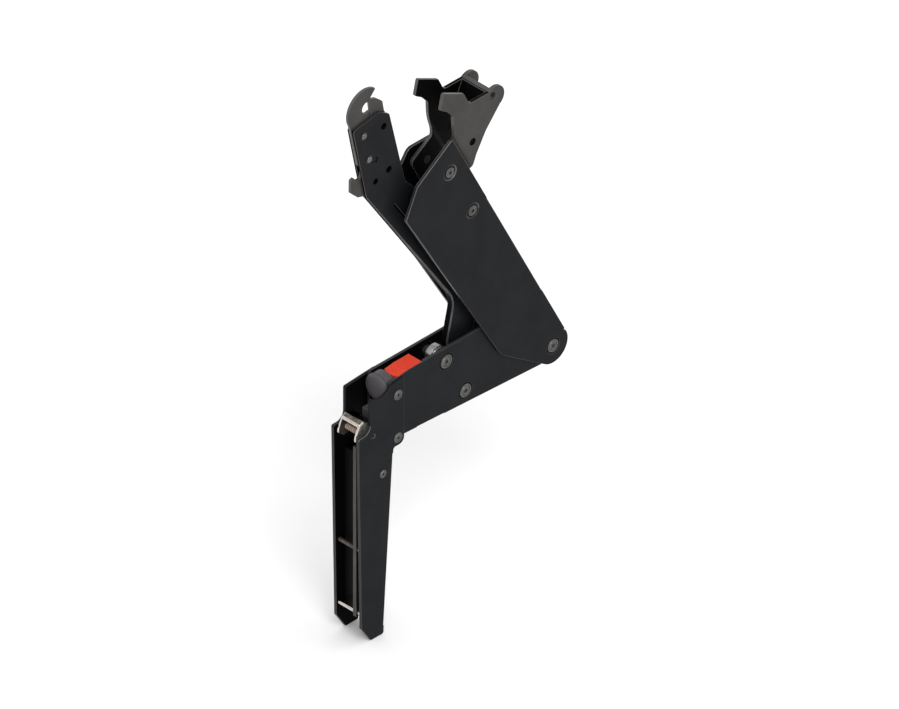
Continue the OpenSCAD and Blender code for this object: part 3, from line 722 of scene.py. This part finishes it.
# The notch with the painted highlight lies between these heights, and the notch and the tab reach
# this far from the door
NOTCH_FLOOR = 8
NOTCH_TOP = 18
NOTCH_DEPTH = 17
TAB_DEPTH = 39


def front_bracket_finish(face):
    """A channel, but with a painted highlight on the near cheek's notch, and plain edges on the tab.
    """
    middle = middle_of(face)
    near = middle.y < -BRACKET_IN - NEAR_SKIN
    at_notch = NOTCH_FLOOR < middle.z < NOTCH_TOP and middle.x < NOTCH_DEPTH
    if near and is_eased(face) and at_notch:
        return EDGE_PAINTED_HIGHLIGHT
    if middle.z > NOTCH_TOP and middle.x < TAB_DEPTH and not is_side(face):
        return BLACK
    return channel_finish(face, BRACKET_IN)


def make_front_bracket():
    bm = clean_copy("front_bracket")
    split_at(bm, BRACKET_WEB_TOP, UPWARDS)
    split_at(bm, BRACKET_WEB_FOOT, UPWARDS)
    fold(bm, BRACKET_OUT, BRACKET_IN, outer_r=1.1, inner_r=0.5)
    ease(bm, width=0.28)
    materials = [BLACK, BLACK_CUT_EDGE_HIGHLIGHT, BLACK_PAINTED_SHADE, EDGE_PAINTED_HIGHLIGHT]
    paint(bm, materials, front_bracket_finish)
    piece("front_bracket_sheet", bm, materials, "front_bracket")


# The arm's bottom web lies between these distances from the door
ARM_WEB_FROM = Vector((53, 0, 0))
ARM_WEB_TO = Vector((76, 0, 0))


def make_lower_arm():
    bm = clean_copy("lower_arm")
    split_at(bm, ARM_WEB_FROM, INWARDS)
    split_at(bm, ARM_WEB_TO, INWARDS)
    fold(bm, ARM_OUT, ARM_IN, outer_r=0.9, inner_r=0.4)
    ease(bm, width=0.25)
    materials = [BLACK, BLACK_CUT_EDGE_HIGHLIGHT, BLACK_PAINTED_SHADE]
    paint(bm, materials, lambda face: channel_finish(face, ARM_IN))
    piece("lower_arm_sheet", bm, materials, "lower_arm")


# The lever's back web lies between these distances from its pivot
LEVER_WEB_FROM = 46
LEVER_WEB_TO = 150


def main_lever_finish(face):
    """A channel, but with a brighter painted highlight on the slanted top edges of both plates."""
    above_web = (middle_of(face) - MAIN_PIVOT).dot(ALONG) > LEVER_WEB_TO
    at_edge = is_eased(face) and not spans(face, LEVER_IN)
    if above_web and at_edge and face.normal.dot(ACROSS) < 0.5:
        return EDGE_PAINTED_HIGHLIGHT
    return channel_finish(face, LEVER_IN)


def make_main_lever():
    bm = clean_copy("main_lever")
    for distance in (LEVER_WEB_FROM, LEVER_WEB_TO):
        split_at(bm, MAIN_PIVOT + ALONG * distance, ALONG)
    fold(bm, LEVER_OUT, LEVER_IN, outer_r=1.1, inner_r=0.5)
    ease(bm, width=0.28)
    materials = [BLACK, BLACK_CUT_EDGE_HIGHLIGHT, BLACK_PAINTED_SHADE, EDGE_PAINTED_HIGHLIGHT]
    paint(bm, materials, main_lever_finish)
    piece("main_lever_sheet", bm, materials, "main_lever")


# Distance across the lever from its pivot to the hook bracket's ears
EAR_FROM = 34.75
# How much further than that the ears' inner sides get painted shade
EAR_PAINTED_SHADE = 4
# The bracket's wall lies nearer to the middle plane than this
WALL_HALF = 7
# The far cheek lies further from the middle plane than this
FAR_CHEEK_FROM = 5
# The wall of the bore lies nearer to its axis than this
BORE_NEAR = 2.9


def is_joggle(edge):
    """Whether an edge is where a cheek of the hook bracket steps outwards."""
    a, b = (vert.co for vert in edge.verts)
    along_lever = abs((a - b).normalized().dot(ALONG)) > 0.99
    level = abs(abs(a.y) - abs(b.y)) < 10 * WELD * MM
    return along_lever and level and edge.calc_face_angle() < math.radians(60)


def hook_bracket_finish(face):
    """Painted shade on the far cheek's nose, the cheeks' inner sides, the wall and the bore, a
    painted highlight on the outer cut edges, and the rest grey.
    """
    middle = middle_of(face)
    across = (middle - MAIN_PIVOT).dot(ACROSS)
    if off_axis(middle, BORE_AXIS) < BORE_NEAR and not is_side(face):
        return BLACK_PAINTED_SHADE
    if abs(face.normal.y) < 0.5:
        outer_edge = abs(middle.y) > WALL_HALF or face.normal.dot(ALONG) > 0.9
        return GREY_CUT_EDGE_HIGHLIGHT if outer_edge else BLACK_PAINTED_SHADE
    if middle.y > FAR_CHEEK_FROM and across < EAR_FROM:
        return BLACK_PAINTED_SHADE
    if face.normal.y * middle.y > 0:
        return GREY
    return BLACK_PAINTED_SHADE if middle.y < 0 or across < EAR_FROM + EAR_PAINTED_SHADE else GREY


def make_hook_bracket():
    bm = clean_copy("hook_bracket")
    split_at(bm, MAIN_PIVOT + ACROSS * EAR_FROM, ACROSS)
    joggles = [edge for edge in sharp_edges(bm) if is_joggle(edge)]
    bevel(bm, joggles, width=1.3, steps=4)
    ease(bm, width=0.3)
    materials = [GREY, BLACK_PAINTED_SHADE, GREY_CUT_EDGE_HIGHLIGHT]
    paint(bm, materials, hook_bracket_finish)
    piece("hook_bracket_sheet", bm, materials, "hook_bracket")


# The axes of the link's holes, and how far their walls lie from them at most
LINK_HOLES = (
    HEAD_AXIS,
    LATCH_PIVOT,
    Vector((31, 0, 228.1)),
    Vector((35.5, 0, 193.6)),
    Vector((24, 0, 190.2)),
    Vector((23, 0, 206.5)),
)
LINK_HOLE_NEAR = 3.4


def link_finish(face):
    """A painted highlight on the link's near front fold and a fainter one on its cut edges; painted
    shade inside, in its holes and on its front-facing faces.
    """
    middle = middle_of(face)
    normal = face.normal
    if abs(middle.y) < LINK_IN + SKIN and not spans(face, LINK_IN):
        return BLACK_PAINTED_SHADE
    in_hole = any(off_axis(middle, hole) < LINK_HOLE_NEAR for hole in LINK_HOLES)
    if in_hole and not is_side(face):
        return BLACK_PAINTED_SHADE
    if -0.97 < normal.y < -EASED_FACING and normal.x < -0.15:
        return FOLD_PAINTED_HIGHLIGHT
    if not is_side(face) and normal.x > -0.2:
        return BLACK_CUT_EDGE_HIGHLIGHT
    return BLACK_PAINTED_SHADE if normal.x < -0.5 else BLACK


def make_link():
    bm = clean_copy("link")
    bevel(bm, corner_edges(bm, LINK_OUT, True), width=1.2, steps=FOLD_STEPS)
    ease(bm, width=0.2)
    materials = [BLACK, BLACK_CUT_EDGE_HIGHLIGHT, BLACK_PAINTED_SHADE, FOLD_PAINTED_HIGHLIGHT]
    paint(bm, materials, link_finish)
    piece("link_sheet", bm, materials, "link")


def make_stamped(node):
    """A flat stamped plate, its cut edges lighter than its sides with a painted highlight."""
    bm = clean_copy(node)
    ease(bm, width=0.3)
    materials = [GREY, GREY_CUT_EDGE_HIGHLIGHT]
    paint(bm, materials, lambda face: GREY if abs(face.normal.y) > 0.55 else GREY_CUT_EDGE_HIGHLIGHT)
    piece(node + "_stamped", bm, materials, node)


# Rivets, pins, collars and bushes, by their distances from the middle plane

RIVETED = [RIVET, RECESS_PAINTED_SHADE]
HEAD_TOP = 12.4
LINER_INNER = 6.8
LINK_PIN_R = 4.0
STOP_PIN_R = 3.5
PIN_HEAD_R = 4.8
PIN_HEAD_TOP = 10.2
COLLAR_BED = 8.6
PIVOT_R = 4.5
RUNNING_GAP = 0.05
HOOK_RIVET_REACHES = (152.7, 195.5)


def make_joining_rivets():
    radius = 2.5
    shank = [(0, ARM_IN), (radius, ARM_IN), (radius, BRACKET_OUT)]
    head = head_profile(radius=3.5, seat=BRACKET_OUT, top=HEAD_TOP)
    bm = bmesh.new()
    for axis in JOINING_AXES:
        spin_headed(bm, axis, shank, head)
    piece("joining_rivets_turned", bm, RIVETED, "joining_rivets")


def make_liner_rivets():
    radius = 1.95
    shank = [(0, LINER_INNER), (radius, LINER_INNER), (radius, BRACKET_OUT)]
    head = head_profile(radius=2.75, seat=BRACKET_OUT, top=HEAD_TOP)
    bm = bmesh.new()
    spin_headed(bm, LINER_AXIS, shank, head)
    piece("liner_rivets_turned", bm, RIVETED, "liner_rivets")


def make_pin(node, axis, radius):
    """A pin through the arm, with a head in each collar."""
    head = head_profile(
        PIN_HEAD_R, COLLAR_BED, PIN_HEAD_TOP, chamfer=0.35, groove=0.25, dimple=0.35
    )
    bm = bmesh.new()
    spin_headed(bm, axis, [(radius, 0), (radius, COLLAR_BED)], head)
    weld(bm)
    piece(node + "_turned", bm, RIVETED, node)


def make_main_pivot_rivets():
    """A rivet on each side, with a wide foot inside the arm's plate."""
    foot, foot_r, eased = 6.4, 6.5, 0.3
    shank = [(0, foot), (foot_r - eased, foot), (foot_r, foot + eased)]
    shank += [(foot_r, ARM_IN), (PIVOT_R, ARM_IN)]
    head = head_profile(PIVOT_R, seat=11.6, top=12.3, groove=0.25, dimple=0.35)
    bm = bmesh.new()
    spin_headed(bm, MAIN_PIVOT, shank, head)
    piece("main_pivot_rivets_turned", bm, RIVETED, "main_pivot_rivets")


def make_hook_rivets():
    """Flat heads with a ring groove and an open eye, with painted shade in the eye and on the
    shank's inner end.
    """
    shank = [(0, 7.6), (2.7, 7.6), (2.7, 11.8)]
    rim = [(3.3, 11.8), (3.5, 11.95), (3.5, 12.2), (3.3, 12.4), (2.6, 12.45)]
    groove = [(2.45, 12.3), (2.1, 12.3), (1.95, 12.45)]
    eye = [(1.3, 12.45), (1.05, 11.9), (0, 11.9)]
    profile = shank + rim + groove + eye
    eye_wall = len(profile) - len(eye)
    bm = bmesh.new()
    for reach in HOOK_RIVET_REACHES:
        spin_both(bm, MAIN_PIVOT + ALONG * reach, profile, painted_shade_steps=(0, eye_wall, eye_wall + 1))
    piece("hook_rivets_turned", bm, RIVETED, "hook_rivets")


def make_dome_rivet(node, axis):
    """A rivet through the link, with a lighter dome as a painted highlight and a ring of painted
    shade on the near side.
    """
    dome = [(0, -3.9), (0.6, -3.89), (1.2, -3.82), (1.75, -3.6), (2.1, -3.2)]
    ring = [(2.2, -2.85), (2.9, -2.85), (2.9, -LINK_OUT)]
    shank = [(1.8, -LINK_OUT), (1.8, LINK_OUT)]
    foot = [(2.5, LINK_OUT), (2.5, 3.1), (2.3, 3.3), (0, 3.3)]
    ring_from = len(dome) - 1
    painted_shade_steps = range(ring_from, ring_from + len(ring))
    bm = bmesh.new()
    spin(bm, axis, dome + ring + shank + foot, DOME_STEPS, painted_shade_steps)
    piece(node + "_turned", bm, [RIVET_DOME_HIGHLIGHT, RECESS_PAINTED_SHADE], node)


def make_hook_bore_shade_discs():
    """Discs of painted shade in the bores of the hook bracket's cheeks."""
    profile = [(0, 10.0), (2.1, 10.0), (2.28, 10.2), (2.28, 11.5), (2.1, 11.6), (1.5, 11.5)]
    bm = bmesh.new()
    spin_both(bm, BORE_AXIS, profile + [(0, 11.4)], DOME_STEPS)
    piece("hook_bore_painted_shade_discs", bm, [BLACK_PAINTED_SHADE], "hook_bracket")


def make_pin_collars():
    bm = bmesh.new()
    for axis, bore in ((LINK_PIVOT, LINK_PIN_R), (STOP_AXIS, STOP_PIN_R)):
        profile = [(bore, ARM_IN), (5.8, ARM_IN), (5.8, ARM_OUT)]
        profile += [(5.7, 9.9), (5.55, 9.88), (5.4, 9.3), (4.9, 9.2)]
        profile += [(PIN_HEAD_R, COLLAR_BED), (bore, COLLAR_BED), (bore, ARM_IN)]
        spin_both(bm, axis, profile)
    weld(bm)
    piece("pin_collars_turned", bm, [COLLAR], "pin_collars")


def make_main_bushes():
    bore = PIVOT_R + RUNNING_GAP
    profile = [(bore, LEVER_IN), (5.4, LEVER_IN), (5.5, 10.2), (5.5, 11.7), (5.4, 11.8)]
    profile += [(5.25, 11.78), (5.1, 11.4), (4.7, 11.3), (bore, 11.2), (bore, LEVER_IN)]
    bm = bmesh.new()
    spin_both(bm, MAIN_PIVOT, profile)
    weld(bm)
    piece("main_bushes_turned", bm, [COLLAR], "main_bushes")


def make_stop_sleeve():
    """A turned sleeve with a narrow flange, a groove and a long barrel."""
    near, far = -4.0, 2.6
    flange = [(6.9, near), (7.2, -3.9), (7.4, -3.7), (7.4, -3.3), (7.25, -3.2)]
    groove = [(6.2, -3.2), (6.2, -2.3), (7.25, -2.3)]
    barrel = [(7.4, -2.15), (7.4, 2.2), (7.2, 2.5), (6.9, far)]
    bore = [(STOP_PIN_R, far), (STOP_PIN_R, near)]
    bm = bmesh.new()
    spin(bm, STOP_AXIS, [(STOP_PIN_R, near)] + flange + groove + barrel + bore, SLEEVE_STEPS)
    weld(bm)
    piece("stop_sleeve_turned", bm, [ZINC], "stop_sleeve")


def make_link_spacers():
    bm = bmesh.new()
    profile = ring_profile(LINK_PIN_R, radius=6.4, low=3.0, high=ARM_IN, eased=0.3)
    spin_both(bm, LINK_PIVOT, profile)
    weld(bm)
    piece("link_spacers_turned", bm, [BLACK_PLASTIC], "link_spacers")


def make_link_bush():
    bm = bmesh.new()
    bore = LINK_PIN_R + RUNNING_GAP
    spin(bm, LINK_PIVOT, ring_profile(bore, radius=6.0, low=-LINK_OUT, high=LINK_OUT, eased=0.15))
    weld(bm)
    piece("link_bush_turned", bm, [COLLAR], "link_bush")


# Lock, catch and channel

# The upper cross pin gets painted shade from this point to its far end
CROSS_PIN_PAINTED_SHADE_FROM = Vector((0, -4.2, 0))


# Painted shade on the far part of the upper cross pin, plating elsewhere
def cross_pin_finish(face):
    middle = middle_of(face)
    upper = middle.z > (UPPER_CROSS_AXIS.z + LOWER_CROSS_AXIS.z) / 2
    return NICKEL_PAINTED_SHADE if upper and middle.y > CROSS_PIN_PAINTED_SHADE_FROM.y else PLATED_PIN_AND_HIGHLIGHT


def make_cross_pins():
    profile = even_profile([(1.4, 9.0), (1.25, 9.35), (0.9, 9.5), (0, 9.5)])
    bm = bmesh.new()
    for axis in (UPPER_CROSS_AXIS, LOWER_CROSS_AXIS):
        spin(bm, axis, profile, PIN_STEPS)
    split_at(bm, CROSS_PIN_PAINTED_SHADE_FROM, SIDEWAYS)
    materials = [PLATED_PIN_AND_HIGHLIGHT, NICKEL_PAINTED_SHADE]
    paint(bm, materials, cross_pin_finish)
    piece("cross_pins_turned", bm, materials, "cross_pins")


def make_catch_pin():
    bm = bmesh.new()
    profile = bar_profile(radius=1.5, low=-BRACKET_OUT, high=BRACKET_OUT, eased=0.2)
    spin(bm, CATCH_PIVOT, profile, PIN_STEPS)
    piece("catch_pin_turned", bm, [BLACK], "catch_pin")


def make_lock_bar():
    bm = clean_copy("lock_bar")
    ease(bm, width=0.45, steps=MOULDED_STEPS)
    piece("lock_bar_plated", bm, [BAR], "lock_bar")


# The catch's faces are split at this distance from the middle plane, on both sides
CATCH_SPLIT = 5.6


def catch_finish(face):
    """A painted highlight on the catch's front edges, painted shade inside, the rest plated."""
    middle = middle_of(face)
    if face.normal.x < -0.35 or is_eased(face) and abs(middle.y) > CATCH_IN:
        return PLATED_PIN_AND_HIGHLIGHT
    if abs(middle.y) < CATCH_IN + SKIN and face.normal.z < 0.5:
        return NICKEL_PAINTED_SHADE
    return NICKEL_SIDE if is_side(face) else NICKEL


def make_catch():
    bm = clean_copy("catch")
    fold(bm, CATCH_OUT, CATCH_IN, outer_r=1.1, inner_r=0.3)
    for side in (-1, 1):
        split_at(bm, SIDEWAYS * side * CATCH_SPLIT, SIDEWAYS)
    ease(bm, width=0.22, steps=MOULDED_STEPS)
    materials = [NICKEL, NICKEL_PAINTED_SHADE, PLATED_PIN_AND_HIGHLIGHT, NICKEL_SIDE]
    paint(bm, materials, catch_finish)
    piece("catch_plated", bm, materials, "catch")


def make_catch_spring_and_sleeve():
    """Inside the catch: a coil on a bar, and a flanged sleeve about the catch's pin, the bar and the
    sleeve in painted shade.
    """
    bm = bmesh.new()
    coil(bm, CATCH_SPRING_AXIS, radius=1.95, wire=0.5, half=5.0, turns=7)
    bar = even_profile([(1.0, CATCH_IN), (0, CATCH_IN)])
    spin(bm, CATCH_SPRING_AXIS, bar, BAR_STEPS, painted_shade_steps=range(len(bar)))
    bore = 1.55
    sleeve = even_profile([(2.6, 4.0), (3.1, 4.2), (3.1, 5.4), (2.9, 5.6), (bore, 5.6)])
    sleeve.append(sleeve[0])
    spin(bm, CATCH_PIVOT, sleeve, DOME_STEPS, painted_shade_steps=range(len(sleeve)))
    weld(bm, TINY)
    piece("catch_spring_and_sleeve", bm, [SPRING_BROWN, NICKEL_PAINTED_SHADE], "catch_core")


# Plastics and the button's spring


def make_moulded(node, material, eased, degrees=SHARP_ANGLE, splits=()):
    """A moulding with eased edges, split first at the planes given as point and normal."""
    bm = clean_copy(node)
    for point, normal in splits:
        split_at(bm, point, normal)
    ease(bm, eased, MOULDED_STEPS, degrees)
    piece(node + "_moulded", bm, [material], node)


# The plug's ring-shaped faces are split at these planes
PLUG_SPLITS = ((Vector((0, 0, 32.6)), UPWARDS), (Vector(), SIDEWAYS))


def make_button_spring():
    """The wound spring, on a mesh of its own. The real spring shortens towards its seat as the
    button goes down.
    """
    bm = clean_copy("button_spring")
    spring = piece("button_spring_wound", bm, [SPRING], "button_spring", WIRE_SMOOTH_ANGLE)
    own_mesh(spring)


make_front_bracket()
make_lower_arm()
make_main_lever()
make_hook_bracket()
make_link()
make_stamped("hook_plate")
make_stamped("hook_latch")
make_joining_rivets()
make_liner_rivets()
make_pin("link_pivot_pin", LINK_PIVOT, LINK_PIN_R)
make_pin("stop_pin", STOP_AXIS, STOP_PIN_R)
make_main_pivot_rivets()
make_hook_rivets()
make_dome_rivet("head_rivets", HEAD_AXIS)
make_dome_rivet("latch_rivet", LATCH_PIVOT)
make_hook_bore_shade_discs()
make_pin_collars()
make_main_bushes()
make_stop_sleeve()
make_link_spacers()
make_link_bush()
make_cross_pins()
make_catch_pin()
make_lock_bar()
make_catch()
make_catch_spring_and_sleeve()
make_moulded("channel_liner", BLACK_PLASTIC, eased=0.4)
make_moulded("button_housing", BLACK_PLASTIC, eased=0.4)
make_moulded("hook_insert", GREY_PLASTIC, eased=0.5)
make_moulded("release_button", RED, eased=0.35, degrees=CURVED_SHARP_ANGLE)
make_moulded("end_plug", GREY_PLASTIC, eased=0.4, degrees=CURVED_SHARP_ANGLE, splits=PLUG_SPLITS)
make_button_spring()


# Floor, light and camera, with lengths in metres

FLOOR_HALF = 6.0
FLOOR_GAP = 0.0004
AMBIENT = 0.86
WHITE = (1, 1, 1, 1)
PALE = (0.94, 0.94, 0.94, 1)
VIEW = Vector((1, 1, -1)).normalized()
RIGHT = Vector((1, -1, 0)).normalized()
UP = RIGHT.cross(VIEW)
VIEW_WIDTH = 0.55
CAMERA_DISTANCE = 1.5


def make_floor():
    corners = [(-1, -1), (1, -1), (1, 1), (-1, 1)]
    height = cad_low.z - FLOOR_GAP
    mesh = bpy.data.meshes.new("floor")
    mesh.from_pydata(
        [(x * FLOOR_HALF, y * FLOOR_HALF, height) for x, y in corners], [], [(0, 1, 2, 3)]
    )
    floor = bpy.data.objects.new("floor", mesh)
    bpy.context.scene.collection.objects.link(floor)
    pale = bpy.data.materials.new("floor_pale")
    pale.use_nodes = True
    shader = pale.node_tree.nodes["Principled BSDF"]
    shader.inputs["Base Color"].default_value = PALE
    shader.inputs["Roughness"].default_value = 0.9
    shader.inputs["Specular IOR Level"].default_value = 0.0
    mesh.materials.append(pale)


def make_world():
    """White where the camera, a mirror or a clear piece sees it, and softer as a light."""
    world = bpy.data.worlds.new("studio")
    bpy.context.scene.world = world
    world.use_nodes = True
    tree = world.node_tree
    tree.nodes.clear()
    ray = tree.nodes.new("ShaderNodeLightPath").outputs
    seen = ray["Is Camera Ray"]
    for kind in ("Is Glossy Ray", "Is Transmission Ray"):
        seen = combine(tree, "MAXIMUM", seen, ray[kind])
    mixed = tree.nodes.new("ShaderNodeMixShader")
    tree.links.new(seen, mixed.inputs[0])
    for place, strength in ((1, AMBIENT), (2, 1.0)):
        background = tree.nodes.new("ShaderNodeBackground")
        background.inputs["Color"].default_value = WHITE
        background.inputs["Strength"].default_value = strength
        tree.links.new(background.outputs[0], mixed.inputs[place])
    out = tree.nodes.new("ShaderNodeOutputWorld")
    tree.links.new(mixed.outputs[0], out.inputs["Surface"])


def make_sun(name, towards, strength, spread):
    light = bpy.data.lights.new(name, "SUN")
    light.energy = strength
    light.angle = math.radians(spread)
    sun = bpy.data.objects.new(name, light)
    sun.rotation_mode = "QUATERNION"
    sun.rotation_quaternion = Vector(towards).to_track_quat("-Z", "Y")
    bpy.context.scene.collection.objects.link(sun)


def make_camera():
    """Looks along the photograph's direction at the middle of what it sees of the object."""
    points = [vert.co for node in frame["nodes"].values() for vert in node.data.vertices]
    target = VIEW * (sum(point.dot(VIEW) for point in points) / len(points))
    for axis in (RIGHT, UP):
        reach = [point.dot(axis) for point in points]
        target += axis * ((max(reach) + min(reach)) / 2)
    camera = bpy.data.objects.new("camera", bpy.data.cameras.new("camera"))
    camera.data.type = "ORTHO"
    camera.data.ortho_scale = VIEW_WIDTH
    camera.data.clip_end = 20
    camera.rotation_mode = "QUATERNION"
    camera.rotation_quaternion = VIEW.to_track_quat("-Z", "Y")
    camera.location = target - VIEW * CAMERA_DISTANCE
    bpy.context.scene.collection.objects.link(camera)
    bpy.context.scene.camera = camera


make_floor()
make_world()
make_sun("key", towards=(0.45, 0.75, -1.0), strength=1.25, spread=30)
make_sun("fill", towards=(-0.7, 0.4, -0.5), strength=0.3, spread=45)
make_camera()
bpy.context.scene.view_settings.view_transform = "Standard"
